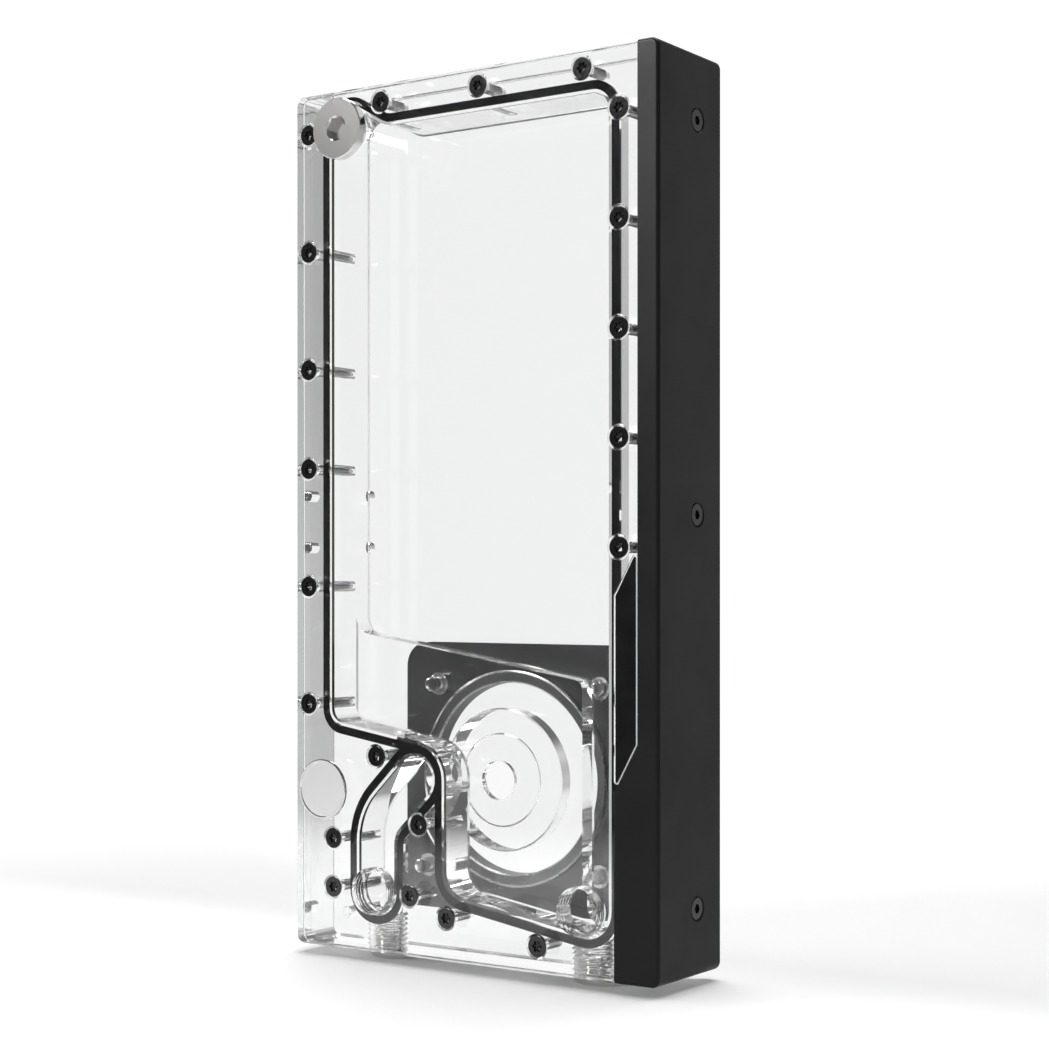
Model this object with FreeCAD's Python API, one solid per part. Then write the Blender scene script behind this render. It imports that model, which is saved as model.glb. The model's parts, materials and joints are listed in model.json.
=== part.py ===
import FreeCAD, Part
import math
import os

# Flat water cooling reservoir: a clear block with a milled chamber, closed by a
# clear front plate, standing upright on its two lower stop plugs.
# Modelling frame: X to the right and Z up as seen from the front, Y into the
# depth. y = 0 is the front face, z = 0 the underside of the clear block.

# Driving dimensions, millimetres and degrees
height = 240.0
width = 120.0
plate_t = 6.0
body_t = 24.0
corner_r = 2.5
edge_break = 0.5
slant = 9.0

# Chamber, outlet channel and the gasket round both
left_wall = 10.4
right_wall = 17.1
top_wall = 10.8
deep_floor = 16.4
plateau_floor = 11.2
floor_break = 0.4
plateau_mid_z = 80.4
inlet_channel_w = 15.4
plateau_corner_r = 3.0
pocket_corner_r = 5.0
chamber_r = 5.0
lower_left_r = 7.0
lower_right_r = 7.0
shoulder_r = 4.0
shoulder_run = 12.6
shoulder_bend_r = 8.0
land = 0.9
gasket_w = 2.3
gasket_t = 1.6
channel_x = 26.5
channel_half = 6.2
channel_bend_r = 13.0
outlet_x = 39.7
outlet_z = 48.4
outlet_hole_r = 4.5
outlet_hole_depth = 9.2
floor_drop = 6.5

# Threaded ports and their stop plugs
port_r = 5.9
thread_pitch = 1.337
fill_x = 16.9
fill_from_top = 11.0
bump_margin = 0.6
front_left_x = 26.9
front_left_z = 16.6
front_right_from_edge = 24.5
front_right_z = 17.2
bottom_port_y = 14.0
plug_clear = 0.05
plug_flange_over = 2.6
plug_flange_t = 2.5
plug_bevel = 0.25
plug_seat_gap = 0.1
plug_shank_len = 5.0
plug_tip_break = 0.6
socket_af = 6.0
socket_depth = 4.0
socket_tip = 1.5
socket_lead = 0.05
seal_section_r = 0.75
seal_step = 0.2
seal_room = 0.05

# Countersunk cover screws
screw_r = 1.5
screw_head_r = 2.85
screw_head_rim = 0.25
screw_sunk = 0.1
screw_len = 16.5
short_screw_len = 15.0
screw_clear = 0.1
hole_spare = 2.6
left_screw_x = 4.5
left_screw_low = 68.0
left_screw_from_top = 11.0
left_screw_gap = 28.0
left_screws_per_group = 3
top_screw_from_top = 4.9
top_screw_first = 30.5
top_screw_last_from_edge = 23.1
top_screws = 3
right_screw_from_edge = 11.9
right_screw_from_top = 16.5
right_screw_over_strip = 10.0
right_screws = 5
hidden_screw_low = 27.4
hidden_screws = 3

# Side cover with its front flange, and the strip set beside the flange
cover_wall = 2.0
cover_flange_t = 1.5
cover_lip_t = 2.0
cover_lip_w = 5.0
cover_corner_r = 2.5
cover_edge_r = 1.0
flange_narrow = 6.2
flange_wide = 13.2
wide_flange_z = 48.6
strip_len = 50.5
strip_rise = 12.6
strip_break = 0.4
side_screw_len = 8.0
side_hole_spare = 0.8
side_screw_y = 19.7
side_screw_end = 17.8
side_screws = 3

# Round badge
badge_x = 10.1
badge_z = 44.1
badge_r = 8.5
badge_t = 0.8
badge_rim_w = 0.7
badge_rim_h = 0.25

# Pump seat on the back and the plate that holds the pump in it
pump_z = 48.2
pump_inlet_r = 5.4
pump_step_r = 12.9
pump_step_t = 2.0
pump_web = 3.2
volute_r = 19.7
seat_r = 30.0
seat_depth = 2.8
seat_clear = 0.2
pump_plate_over = 7.2
pump_plate_t = 2.0
pump_plate_corner_r = 7.0
pump_ring_w = 3.3
pump_screw_in_x = 3.8
pump_screw_in_z = 4.7
pump_screw_shift_x = 2.0
pump_screw_shift_z = 0.3
pump_screw_r = 2.0
pump_screw_head_r = 3.35
pump_screw_len = 11.5
pump_short_screw_len = 8.0
pump_hole_spare = 0.8
insert_r = 3.1
insert_len = 4.0
insert_clear = 0.05

# Threaded holes on the back for fans or a radiator
fan_pitch = 105.0
fan_edge = 7.5
fan_hole_r = 1.65
fan_hole_depth = 6.0

# Worked out from the values above
left = -width / 2
right = width / 2
clear_right = right - cover_wall
depth = plate_t + body_t
cover_depth = depth + cover_lip_t
slope = math.tan(math.radians(slant))
seal_gap = 2 * land + gasket_w
plug_out = plug_seat_gap + plug_flange_t
fill_bump_r = port_r + bump_margin
plug_r = port_r - plug_clear
flange_r = port_r + plug_flange_over
seal_r = plug_r + seal_step + seal_section_r
shelf_y = plate_t + plateau_floor
inlet_edge_x = right - right_wall - inlet_channel_w
pump_ring_r = seat_r - seat_clear
pump_bore_r = pump_ring_r - pump_ring_w
pump_ring_y = depth - seat_depth + seat_clear

# The origin is under the middle of the whole object, on the floor
front_y = (plug_out - cover_depth) / 2
base_z = plug_out


def vec(x, y, z):
    return FreeCAD.Vector(x, y, z)


def crossing(point_a, dir_a, point_b, dir_b):
    """Point where two lines of the front view meet."""
    det = dir_a[0] * dir_b[1] - dir_a[1] * dir_b[0]
    gap = (point_b[0] - point_a[0], point_b[1] - point_a[1])
    run = (gap[0] * dir_b[1] - gap[1] * dir_b[0]) / det
    return (point_a[0] + run * dir_a[0], point_a[1] + run * dir_a[1])


def outline(corners, y=0.0, grow=0.0):
    """Face of a rounded outline in the front view, grown outwards by a margin.

    corners holds (x, z, radius) counter-clockwise. Growing adds to the radius of
    an outer corner and takes from the radius of an inner one.
    """
    count = len(corners)
    heading = []
    for i in range(count):
        x0, z0, _ = corners[i]
        x1, z1, _ = corners[(i + 1) % count]
        run = math.hypot(x1 - x0, z1 - z0)
        heading.append(((x1 - x0) / run, (z1 - z0) / run))
    edges = []
    joints = []
    for i in range(count):
        before = heading[i - 1]
        after = heading[i]
        x, z, radius = corners[i]
        on_before = (x + grow * before[1], z - grow * before[0])
        on_after = (x + grow * after[1], z - grow * after[0])
        tip = crossing(on_before, before, on_after, after)
        turn = math.atan2(
            before[0] * after[1] - before[1] * after[0],
            before[0] * after[0] + before[1] * after[1],
        )
        side = math.copysign(1.0, turn)
        bend = radius + side * grow
        reach = bend * math.tan(abs(turn) / 2)
        start = (tip[0] - reach * before[0], tip[1] - reach * before[1])
        end = (tip[0] + reach * after[0], tip[1] + reach * after[1])
        centre = (start[0] - side * bend * before[1], start[1] + side * bend * before[0])
        away = math.hypot(tip[0] - centre[0], tip[1] - centre[1])
        middle = (
            centre[0] + bend * (tip[0] - centre[0]) / away,
            centre[1] + bend * (tip[1] - centre[1]) / away,
        )
        joints.append((start, middle, end))
    for i in range(count):
        start, middle, end = [vec(p[0], y, p[1]) for p in joints[i]]
        last = vec(joints[i - 1][2][0], y, joints[i - 1][2][1])
        if last.distanceToPoint(start) > 1e-6:
            edges.append(Part.LineSegment(last, start).toShape())
        edges.append(Part.Arc(start, middle, end).toShape())
    return Part.Face(Part.Wire(edges))


def slab(face, thickness):
    """Solid that runs from a face of the front view into the depth."""
    return face.extrude(vec(0, thickness, 0))


def box(x0, x1, y0, y1, z0, z1):
    return Part.makeBox(x1 - x0, y1 - y0, z1 - z0, vec(x0, y0, z0))


def drill(x, z, radius, y0, y1):
    """Round tool along the depth."""
    return Part.makeCylinder(radius, y1 - y0, vec(x, y0, z), vec(0, 1, 0))


def turned(profile):
    """Solid turned about the Z axis from (radius, z) points."""
    wire = Part.makePolygon([vec(r, 0, z) for r, z in profile + profile[:1]])
    return Part.Face(wire).revolve(vec(0, 0, 0), vec(0, 0, 1), 360)


def facing(shape, place, outward):
    """Copy of a shape made along +Z, set at a place and turned to face outward."""
    turn = FreeCAD.Rotation(vec(0, 0, 1), outward)
    copy = shape.copy()
    copy.Placement = FreeCAD.Placement(place, turn)
    return copy


def round_block(x0, x1, z0, z1, radius, y, thickness):
    """Rectangular slab with rounded corners in the front view."""
    corners = [(x0, z0, radius), (x1, z0, radius), (x1, z1, radius), (x0, z1, radius)]
    return slab(outline(corners, y), thickness)


def edges_at(shape, y):
    """Edges of a shape that lie in the plane of one depth."""
    found = []
    for edge in shape.Edges:
        if abs(edge.BoundBox.YMin - y) < 1e-6 and abs(edge.BoundBox.YMax - y) < 1e-6:
            found.append(edge)
    return found


# Places that several pieces share
fill_place = (left + fill_x, height - fill_from_top)
front_left_place = (left + front_left_x, front_left_z)
front_right_place = (right - front_right_from_edge, front_right_z)
channel_place = (left + channel_x, front_left_z)
outlet_place = (left + outlet_x, outlet_z)
pump_place = (0.0, pump_z)
outward_front = vec(0, -1, 0)
outward_back = vec(0, 1, 0)
outward_right = vec(1, 0, 0)
outward_down = vec(0, 0, -1)


def chamber_corners():
    """Main chamber: straight outer walls, slanted floors, a round end at the fill port."""
    x_left = left + left_wall
    x_right = right - right_wall
    x_inner = outlet_place[0] + channel_half + seal_gap
    z_top = height - top_wall
    down = (math.cos(math.radians(slant)), -math.sin(math.radians(slant)))
    up_normal = (-down[1], down[0])
    over_outlet = channel_half + seal_gap
    upper_floor = (
        outlet_place[0] + over_outlet * up_normal[0],
        outlet_place[1] + over_outlet * up_normal[1],
    )
    lower_floor = (
        front_right_place[0] - floor_drop * up_normal[0],
        front_right_place[1] - floor_drop * up_normal[1],
    )
    upright = (0.0, 1.0)
    x_shoulder = fill_place[0] + shoulder_run
    away = math.hypot(shoulder_run, z_top - fill_place[1])
    rise = math.asin(fill_bump_r / away) - math.atan2(z_top - fill_place[1], shoulder_run)
    crest = crossing(
        (x_shoulder, z_top), (-math.cos(rise), math.sin(rise)), (x_left, z_top), upright
    )
    inner_low = crossing(lower_floor, down, (x_inner, 0), upright)
    outer_low = crossing(lower_floor, down, (x_right, 0), upright)
    outer_step = crossing(upper_floor, down, (x_left, 0), upright)
    inner_step = crossing(upper_floor, down, (x_inner, 0), upright)
    return [
        (inner_low[0], inner_low[1], lower_left_r),
        (outer_low[0], outer_low[1], lower_right_r),
        (x_right, z_top, chamber_r),
        (x_shoulder, z_top, shoulder_bend_r),
        (crest[0], crest[1], fill_bump_r),
        (outer_step[0], outer_step[1], shoulder_r),
        (inner_step[0], inner_step[1], over_outlet),
    ]


def channel_corners():
    """Outlet channel: up from the left port, then over at 45 degrees to the outlet."""
    px, pz = channel_place
    ox, oz = outlet_place
    along = (math.sqrt(0.5), math.sqrt(0.5))
    half = channel_half
    end_left = (ox - half * along[1] + half * along[0], oz + half * along[0] + half * along[1])
    end_right = (ox + half * along[1] + half * along[0], oz - half * along[0] + half * along[1])
    knee_left = crossing(end_left, along, (px - half, 0), (0.0, 1.0))
    knee_right = crossing(end_right, along, (px + half, 0), (0.0, 1.0))
    return [
        (px - half, pz - half, half),
        (px + half, pz - half, half),
        (knee_right[0], knee_right[1], channel_bend_r - half),
        (end_right[0], end_right[1], half),
        (end_left[0], end_left[1], half),
        (knee_left[0], knee_left[1], channel_bend_r + half),
    ]


def gasket_shape():
    """Flat ring in the shape of an eight, round the chamber and the channel."""
    outer = outline(chamber_corners(), plate_t, land + gasket_w)
    outer = slab(outer, gasket_t).fuse(
        slab(outline(channel_corners(), plate_t, land + gasket_w), gasket_t)
    )
    for corners in (chamber_corners(), channel_corners()):
        outer = outer.cut(slab(outline(corners, plate_t, land), gasket_t))
    return outer.removeSplitter()


def strip_top(x):
    """Height of the strip's slanted upper edge at one place across."""
    run = x - (right - flange_wide)
    return wide_flange_z + strip_len + strip_rise * run / (flange_wide - flange_narrow)


def spread(first, last, count):
    """Evenly spaced places from first to last."""
    return [first + (last - first) * i / (count - 1) for i in range(count)]


def left_screw_places():
    top = height - left_screw_from_top
    span = (top - left_screw_low - left_screw_gap) / 2
    low = spread(left_screw_low, left_screw_low + span, left_screws_per_group)
    high = spread(top - span, top, left_screws_per_group)
    return [(left + left_screw_x, z) for z in low + high]


def top_screw_places():
    row = spread(left + top_screw_first, right - top_screw_last_from_edge, top_screws)
    return [(x, height - top_screw_from_top) for x in row]


def right_screw_places():
    """Column beside the narrow flange, down to just above the strip."""
    x = right - right_screw_from_edge
    column = spread(strip_top(x) + right_screw_over_strip, height - right_screw_from_top, right_screws)
    return [(x, z) for z in column]


def hidden_screw_places():
    """The column goes on under the strip and the wide flange, on their middle line."""
    x = right - (flange_wide + flange_narrow) / 2
    column = spread(hidden_screw_low, right_screw_places()[0][1], hidden_screws + 1)
    return [(x, z) for z in column[:hidden_screws]]


def lower_screw_places():
    """Screws round the outlet channel and under the chamber floor."""
    beside_channel = channel_place[0] - channel_half - seal_gap
    between = channel_place[0] + channel_half + seal_gap
    return [
        (beside_channel - 2.6, outlet_z - 17.8),
        (beside_channel - 2.6, front_left_z + 0.3),
        (outlet_place[0] - 10.8, outlet_z + 5.9),
        (between + 3.8, front_left_z),
        (outlet_place[0] + 13.4, front_left_z - 4.9),
        (front_right_place[0] - 12.6, front_right_z - 10.1),
    ]


def pump_side_screw_place():
    """The one short screw, between the outlet and the pump seat."""
    return (outlet_place[0] + 4.0, outlet_z - 12.1)


def screw(length, shank=screw_r, head=screw_head_r):
    """Countersunk screw along -Z with its face at z = 0."""
    return turned(
        [
            (0, 0),
            (head, 0),
            (head, -screw_head_rim),
            (shank, shank - head - screw_head_rim),
            (shank, -length),
            (0, -length),
        ]
    )


def screw_hole(length, spare, shank=screw_r, head=screw_head_r):
    """Tool for a screw's hole: a cone that opens to the face, then the bore with room past the tip."""
    bore = shank + screw_clear
    top = screw_sunk + screw_clear
    seat = head + screw_head_rim + 2 * screw_clear
    return turned(
        [
            (0, top),
            (seat + top, top),
            (bore, bore - seat),
            (bore, -length - spare),
            (0, -length - spare),
        ]
    )


def front_screw_seats():
    """Every front screw as (node, place, length), sunk below the face it sits in."""
    rows = [
        ("cover_screws_left", left_screw_places(), 0.0, screw_len),
        ("cover_screws_top", top_screw_places(), 0.0, screw_len),
        ("cover_screws_right", right_screw_places(), 0.0, screw_len),
        ("cover_screws_right", hidden_screw_places(), cover_flange_t, screw_len),
        ("cover_screws_lower", lower_screw_places(), 0.0, screw_len),
        ("cover_screws_lower", [pump_side_screw_place()], 0.0, short_screw_len),
    ]
    seats = []
    for node, places, face_y, length in rows:
        seats += [(node, vec(x, face_y + screw_sunk, z), length) for x, z in places]
    return seats


def side_screw_seats():
    column = spread(side_screw_end, height - side_screw_end, side_screws)
    return [vec(right - screw_sunk, side_screw_y, z) for z in column]


def pump_screw_seats():
    """Screws of the pump plate as (place, length), shorter where the inlet channel lies in front."""
    y = depth + pump_plate_t - screw_sunk
    seats = []
    for sx, length in ((-1, pump_screw_len), (1, pump_short_screw_len)):
        for sz in (-1, 1):
            x = pump_place[0] + pump_screw_shift_x + sx * (seat_r - pump_screw_in_x)
            z = pump_place[1] + pump_screw_shift_z + sz * (seat_r - pump_screw_in_z)
            seats.append((vec(x, y, z), length))
    return seats


def pump_screw_holes():
    holes = []
    for seat, length in pump_screw_seats():
        hole = screw_hole(length, pump_hole_spare, pump_screw_r, pump_screw_head_r)
        holes.append(facing(hole, seat, outward_back))
    return holes


def side_screw_holes():
    hole = screw_hole(side_screw_len, side_hole_spare)
    return [facing(hole, seat, outward_right) for seat in side_screw_seats()]


def front_screw_holes():
    holes = []
    for _, seat, length in front_screw_seats():
        holes.append(facing(screw_hole(length, hole_spare), seat, outward_front))
    return holes


def pump_inserts():
    """Threaded bushes in the back of the block that take the screws of the pump plate."""
    bushes = []
    for seat, _ in pump_screw_seats():
        bush = drill(seat.x, seat.z, insert_r, depth - insert_len, depth)
        bushes.append(bush.cut(drill(seat.x, seat.z, pump_screw_r + screw_clear, depth - insert_len, depth)))
    return Part.makeCompound(bushes)


def strip_corners():
    """Slanted strip beside the narrow flange, above the wide one."""
    x0 = right - flange_wide
    x1 = right - flange_narrow
    low = wide_flange_z
    round_tip = strip_break * 2
    return [
        (x0, low, round_tip),
        (x1, low + strip_rise, round_tip),
        (x1, low + strip_rise + strip_len, round_tip),
        (x0, low + strip_len, round_tip),
    ]


def flange_face(y):
    """Front flange of the side cover: wide below, a slanted step, narrow above."""
    x0 = right - flange_wide
    x1 = right - flange_narrow
    points = [
        (x0, 0),
        (right, 0),
        (right, height),
        (x1, height),
        (x1, wide_flange_z + strip_rise),
        (x0, wide_flange_z),
    ]
    return Part.Face(Part.makePolygon([vec(x, y, z) for x, z in points + points[:1]]))


def front_rebate():
    """Shallow step in the front plate that takes the flange and the strip."""
    return slab(flange_face(0.0), cover_flange_t).fuse(slab(outline(strip_corners()), cover_flange_t))


def clear_block(y, thickness, front_break, back_break):
    """Clear slab over the whole front, with broken edges."""
    block = round_block(left, clear_right, 0.0, height, corner_r, y, thickness)
    block = block.makeChamfer(front_break, edges_at(block, y))
    return block.makeChamfer(back_break, edges_at(block, y + thickness))


def front_plate():
    plate = clear_block(0.0, plate_t, edge_break, edge_break / 2)
    tools = [front_rebate()]
    for x, z in (fill_place, front_left_place, front_right_place):
        tools.append(drill(x, z, port_r, 0.0, plate_t))
    return plate.cut(tools + front_screw_holes())


def step_height(x):
    """Height of the slanted step between the deep chamber and the pump shelf."""
    return plateau_mid_z - slope * x


def deep_corners():
    """Deep part of the chamber: all above the step, and the inlet channel beside the pump shelf."""
    low_in, low_out, top_right, shoulder, crest = chamber_corners()[:5]
    run = (inlet_edge_x - low_in[0]) / (low_out[0] - low_in[0])
    return [
        (inlet_edge_x, low_in[1] + run * (low_out[1] - low_in[1]), pocket_corner_r),
        low_out,
        top_right,
        shoulder,
        crest,
        (crest[0], step_height(crest[0]), pocket_corner_r),
        (inlet_edge_x, step_height(inlet_edge_x), plateau_corner_r),
    ]


def pocket(corners, floor):
    """Tool for a pocket milled from the front of the block, with its floor's edge broken."""
    tool = slab(outline(corners, plate_t), floor)
    return tool.makeChamfer(floor_break, edges_at(tool, plate_t + floor))


def recess(place, radius, y):
    """Tool for a round recess from the back of the block, with its floor's edge broken."""
    tool = drill(place[0], place[1], radius, y, depth)
    return tool.makeChamfer(floor_break, edges_at(tool, y))


def pump_seat():
    """Stepped recess on the back: seat, volute, inlet step and inlet hole."""
    x, z = pump_place
    return [
        recess(pump_place, seat_r, depth - seat_depth),
        recess(pump_place, volute_r, shelf_y + pump_web),
        recess(pump_place, pump_step_r, shelf_y + pump_step_t),
        drill(x, z, pump_inlet_r, shelf_y, depth),
        drill(outlet_place[0], outlet_place[1], outlet_hole_r, shelf_y, shelf_y + outlet_hole_depth),
    ]


def fan_holes():
    """Blind holes of two fan patterns, one above the other."""
    tools = []
    for x in (left + fan_edge, left + fan_edge + fan_pitch):
        for z in (fan_edge, fan_edge + fan_pitch, height - fan_edge - fan_pitch, height - fan_edge):
            tools.append(drill(x, z, fan_hole_r, depth - fan_hole_depth, depth))
    return tools


def bottom_port(place):
    """Bore from the underside up into the chamber or the channel."""
    return Part.makeCylinder(port_r, place[1], vec(place[0], bottom_port_y, 0.0))


def insert_pockets():
    pockets = []
    for seat, _ in pump_screw_seats():
        pockets.append(drill(seat.x, seat.z, insert_r + insert_clear, depth - insert_len, depth))
    return pockets


def reservoir_body():
    body = clear_block(plate_t, body_t, edge_break / 2, edge_break)
    tools = [
        pocket(deep_corners(), deep_floor),
        pocket(chamber_corners(), plateau_floor),
        pocket(channel_corners(), plateau_floor),
        gasket_shape(),
        bottom_port(front_left_place),
        bottom_port(front_right_place),
    ]
    tools += pump_seat() + fan_holes() + insert_pockets()
    tools += front_screw_holes() + side_screw_holes() + pump_screw_holes()
    return body.cut(tools)


def side_cover():
    """Channel over the right edge: side wall, front flange and a narrow rear lip."""
    reach = flange_wide + cover_corner_r + cover_edge_r
    shell = round_block(right - 2 * reach, right, 0.0, height, cover_corner_r, 0.0, cover_depth)
    shell = shell.makeFillet(cover_edge_r, edges_at(shell, 0.0))
    shell = shell.makeChamfer(edge_break, edges_at(shell, cover_depth))
    wall = box(clear_right, right, 0.0, cover_depth, 0.0, height)
    lip = box(right - cover_lip_w, right, depth, cover_depth, 0.0, height)
    profile = slab(flange_face(0.0), cover_flange_t).fuse([wall, lip])
    cover = shell.common(profile).removeSplitter()
    return cover.cut(side_screw_holes())


def label_strip():
    strip = slab(outline(strip_corners()), cover_flange_t)
    return strip.makeChamfer(strip_break, edges_at(strip, 0.0))


def badge():
    """Plain round badge with a raised rim, fixed to the front face."""
    face = badge_t - badge_rim_h
    inner = badge_r - badge_rim_w
    disc = turned(
        [
            (0, 0),
            (badge_r, 0),
            (badge_r, badge_t - badge_rim_h),
            (badge_r - badge_rim_h, badge_t),
            (inner, badge_t),
            (inner - badge_rim_h, face),
            (0, face),
        ]
    )
    return facing(disc, vec(left + badge_x, 0, badge_z), outward_front)


def pump_ring():
    """Collar of the pump plate that centres it in the seat, with its front edges broken."""
    x, z = pump_place
    ring = drill(x, z, pump_ring_r, pump_ring_y, depth)
    ring = ring.cut(drill(x, z, pump_bore_r, pump_ring_y, depth))
    return ring.makeChamfer(edge_break, edges_at(ring, pump_ring_y))


def pump_plate():
    """Square plate over the pump seat, with the collar in front and a bore through both."""
    x, z = pump_place
    half = seat_r + pump_plate_over
    plate = round_block(x - half, x + half, z - half, z + half, pump_plate_corner_r, depth, pump_plate_t)
    plate = plate.makeChamfer(edge_break, edges_at(plate, depth + pump_plate_t))
    bore = drill(x, z, pump_bore_r, depth, depth + pump_plate_t)
    plate = plate.cut([bore] + pump_screw_holes())
    return plate.fuse(pump_ring()).removeSplitter()


def stop_plug():
    """Stop plug along +Z: bevelled flange over the port, plain shank, six-sided socket."""
    top = plug_out
    groove_in = seal_r - seal_section_r - seal_room
    groove_out = seal_r + seal_section_r + seal_room
    groove_top = 2 * seal_section_r + seal_room
    plug = turned(
        [
            (0, -plug_shank_len),
            (plug_r - plug_tip_break, -plug_shank_len),
            (plug_r, plug_tip_break - plug_shank_len),
            (plug_r, plug_seat_gap),
            (groove_in, plug_seat_gap),
            (groove_in, groove_top),
            (groove_out, groove_top),
            (groove_out, plug_seat_gap),
            (flange_r, plug_seat_gap),
            (flange_r, top - plug_bevel),
            (flange_r - plug_bevel, top),
            (0, top),
        ]
    )
    corner = socket_af / math.sqrt(3)
    hexagon = Part.makePolygon(
        [vec(corner * math.cos(math.pi * i / 3), corner * math.sin(math.pi * i / 3), top) for i in range(7)]
    )
    socket = Part.Face(hexagon).extrude(vec(0, 0, -socket_depth))
    tip = Part.makeCone(0.0, socket_af / 2, socket_tip, vec(0, 0, top - socket_depth - socket_tip))
    lead = Part.makeCone(socket_af / 2, corner + socket_lead, corner + socket_lead - socket_af / 2)
    lead.translate(vec(0, 0, top - (corner + socket_lead - socket_af / 2)))
    return plug.cut([socket, tip, lead])


def seal_ring():
    """O-ring between the flange and the face round the port."""
    return Part.makeTorus(seal_r, seal_section_r, vec(0, 0, seal_section_r), vec(0, 0, 1))


def plugs_and_seals():
    fill = vec(fill_place[0], 0, fill_place[1])
    low_left = vec(front_left_place[0], bottom_port_y, 0)
    low_right = vec(front_right_place[0], bottom_port_y, 0)
    pieces = {}
    for name, place, outward in (
        ("fill_plug", fill, outward_front),
        ("drain_plug_left", low_left, outward_down),
        ("drain_plug_right", low_right, outward_down),
    ):
        pieces[name] = facing(stop_plug(), place, outward)
        pieces[name + "_seal"] = facing(seal_ring(), place, outward)
    return pieces


def screw_groups():
    """Screws of one kind and row share a node, each a solid of its own."""
    groups = {}
    for node, seat, length in front_screw_seats():
        groups.setdefault(node, []).append(facing(screw(length), seat, outward_front))
    groups["side_cover_screws"] = [
        facing(screw(side_screw_len), seat, outward_right) for seat in side_screw_seats()
    ]
    groups["pump_plate_screws"] = [
        facing(screw(length, pump_screw_r, pump_screw_head_r), seat, outward_back)
        for seat, length in pump_screw_seats()
    ]
    return {node: Part.makeCompound(solids) for node, solids in groups.items()}


def build():
    parts = {
        "front_plate": front_plate(),
        "reservoir_body": reservoir_body(),
        "chamber_gasket": gasket_shape(),
        "side_cover": side_cover(),
        "label_strip": label_strip(),
        "badge": badge(),
        "pump_plate": pump_plate(),
        "pump_inserts": pump_inserts(),
    }
    parts.update(plugs_and_seals())
    parts.update(screw_groups())
    return parts


def write(parts):
    os.makedirs("parts", exist_ok=True)
    for name, shape in parts.items():
        placed = shape.translated(vec(0, front_y, base_z))
        placed.exportStep(os.path.join("parts", name + ".step"))
        box_size = placed.BoundBox
        print(
            f"{name}: {len(placed.Solids)} solids, {placed.Volume:.1f} mm3, valid {placed.isValid()}, "
            f"y {box_size.YMin:.2f} to {box_size.YMax:.2f}, z {box_size.ZMin:.2f} to {box_size.ZMax:.2f}"
        )


write(build())
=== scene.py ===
# %% [markdown]
# # A clear water cooling reservoir
# The real object is a flat, upright tank for a cooling loop: a clear block with a milled
# chamber, a clear plate screwed over it, black trim and three stop plugs. The packed
# solids are the fixed frame of this lesson. Every piece made below sits exactly where
# they say and only adds what they leave out: threads, screw drives and surface finishes.
# All lengths are metres.

# %% Load the frame
import json
import math
from collections import namedtuple

import bmesh
import bpy
import numpy as np
from mathutils import Matrix, Vector

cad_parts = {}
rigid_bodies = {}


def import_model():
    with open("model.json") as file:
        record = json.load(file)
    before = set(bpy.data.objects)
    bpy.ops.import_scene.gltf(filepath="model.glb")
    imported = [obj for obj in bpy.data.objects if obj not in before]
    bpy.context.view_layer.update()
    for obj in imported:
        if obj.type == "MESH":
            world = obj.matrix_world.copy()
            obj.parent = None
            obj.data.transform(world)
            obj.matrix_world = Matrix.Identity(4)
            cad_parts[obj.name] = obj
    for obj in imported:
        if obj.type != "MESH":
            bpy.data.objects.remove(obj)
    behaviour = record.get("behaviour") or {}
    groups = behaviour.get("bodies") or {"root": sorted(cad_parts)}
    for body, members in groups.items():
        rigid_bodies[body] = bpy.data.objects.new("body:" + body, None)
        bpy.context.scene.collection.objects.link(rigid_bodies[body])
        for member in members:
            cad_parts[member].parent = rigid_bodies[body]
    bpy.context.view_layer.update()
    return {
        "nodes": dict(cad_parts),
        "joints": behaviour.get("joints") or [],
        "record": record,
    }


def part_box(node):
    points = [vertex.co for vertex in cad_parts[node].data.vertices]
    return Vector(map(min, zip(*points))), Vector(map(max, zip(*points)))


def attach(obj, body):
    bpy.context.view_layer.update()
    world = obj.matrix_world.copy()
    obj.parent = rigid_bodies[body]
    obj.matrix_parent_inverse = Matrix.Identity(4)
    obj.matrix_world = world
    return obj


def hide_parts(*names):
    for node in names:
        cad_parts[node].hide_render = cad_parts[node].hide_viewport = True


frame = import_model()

MM = 0.001
nodes = frame["nodes"]
mounts = {mount["name"]: mount for mount in frame["record"]["mounts"]}
joints = {joint["name"]: joint for joint in frame["joints"]}

# %% [markdown]
# ## Copies of the solids
# A solid from the frame arrives as loose triangles, and its own mesh has to stay as it is.
# Each piece could be modelled again, but a copy keeps every size exact. The copy is merged
# first, so that neighbouring triangles share their corners and shading can run on over
# them. Cuts and node trees are baked afterwards, which leaves nothing but plain meshes.

# %% Copies and plain meshes
MERGE = 0.001 * MM


def add_object(name, mesh):
    obj = bpy.data.objects.new(name, mesh)
    bpy.context.scene.collection.objects.link(obj)
    return obj


def discard(*objs):
    for obj in objs:
        bpy.data.objects.remove(obj)


def merged_copy(node, name):
    mesh = nodes[node].data.copy()
    mesh.materials.clear()
    work = bmesh.new()
    work.from_mesh(mesh)
    bmesh.ops.remove_doubles(work, verts=work.verts, dist=MERGE)
    work.to_mesh(mesh)
    work.free()
    return add_object(name, mesh)


def baked(obj):
    """The object with its modifiers turned into a plain mesh."""
    bpy.context.view_layer.update()
    graph = bpy.context.evaluated_depsgraph_get()
    mesh = bpy.data.meshes.new_from_object(obj.evaluated_get(graph))
    old = obj.data
    obj.modifiers.clear()
    obj.data = mesh
    if old.users == 0:
        bpy.data.meshes.remove(old)
    return obj


def combine(obj, operation, tool):
    """Cut a tool out of an object or join it on, and use the tool up."""
    step = obj.modifiers.new("combine", "BOOLEAN")
    step.operation = operation
    step.solver = "MANIFOLD"
    step.object = tool
    baked(obj)
    discard(tool)


print("solids to copy:", ", ".join(sorted(nodes)))

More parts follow.
